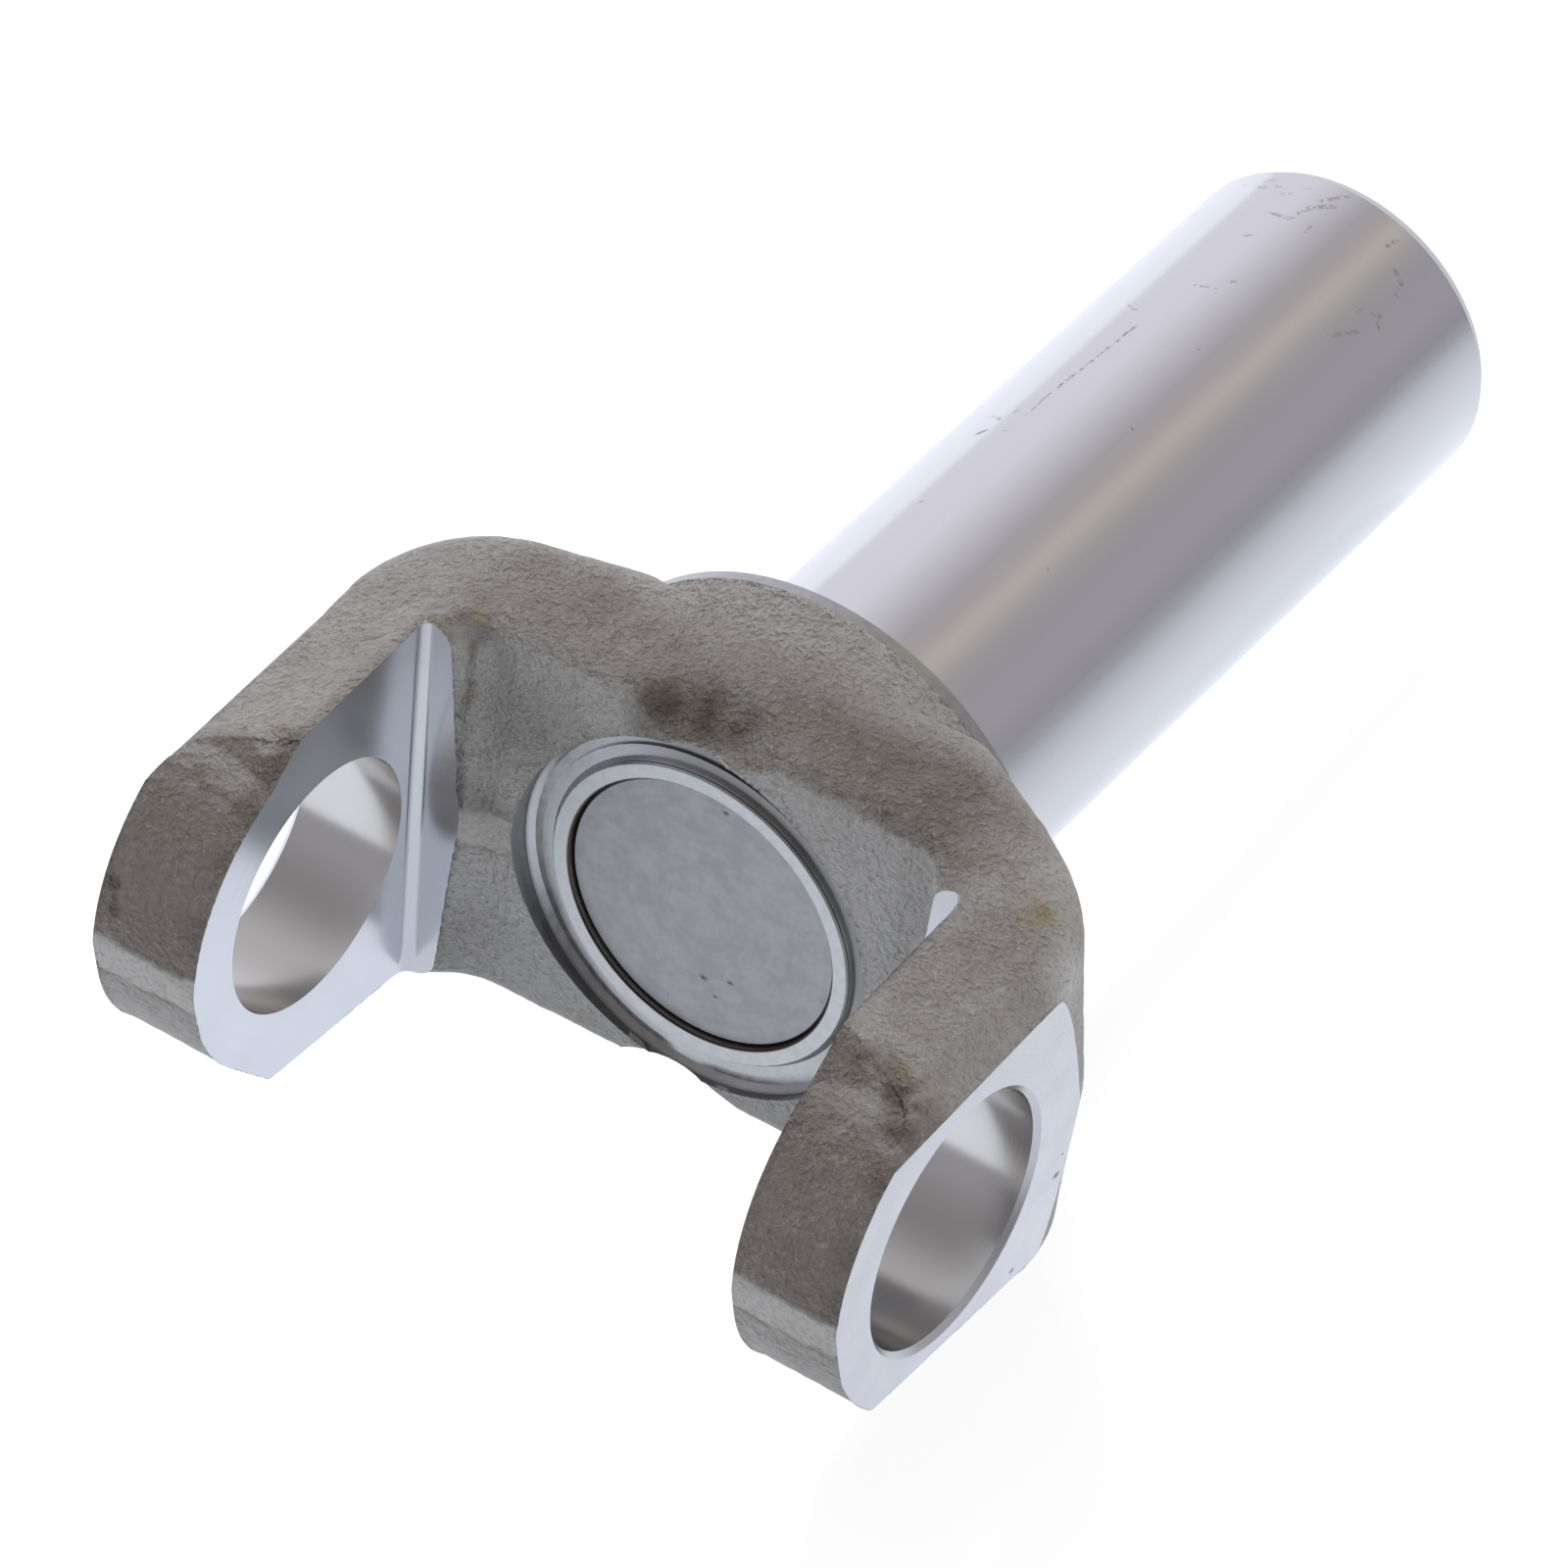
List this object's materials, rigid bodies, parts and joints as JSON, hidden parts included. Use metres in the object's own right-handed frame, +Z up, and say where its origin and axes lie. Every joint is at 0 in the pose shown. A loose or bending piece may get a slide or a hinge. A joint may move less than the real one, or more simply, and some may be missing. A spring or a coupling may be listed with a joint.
{
  "type": "driveshaft slip yoke",
  "caption": "Forged slip yoke: a ground hollow barrel with an internal spline behind a U-shaped fork whose ears carry cross bores for universal joint caps.",
  "frame": {"origin": "where the axis of the cross bores meets the axis of the barrel", "axes": "+X along the cross bores, +Y along the barrel towards its open end, +Z up, square to the parting plane of the forging"},
  "size_m": [0.09, 0.1608, 0.056],
  "materials": {
    "forged_steel": "as-forged grey steel, with the barrel ground and the bores, ear faces and pocket machined bright",
    "plug_steel": "matte pressed steel"
  },
  "bodies": {
    "root": {"yoke_forging": "forged_steel", "expansion_plug": "plug_steel"}
  },
  "joints": []
}
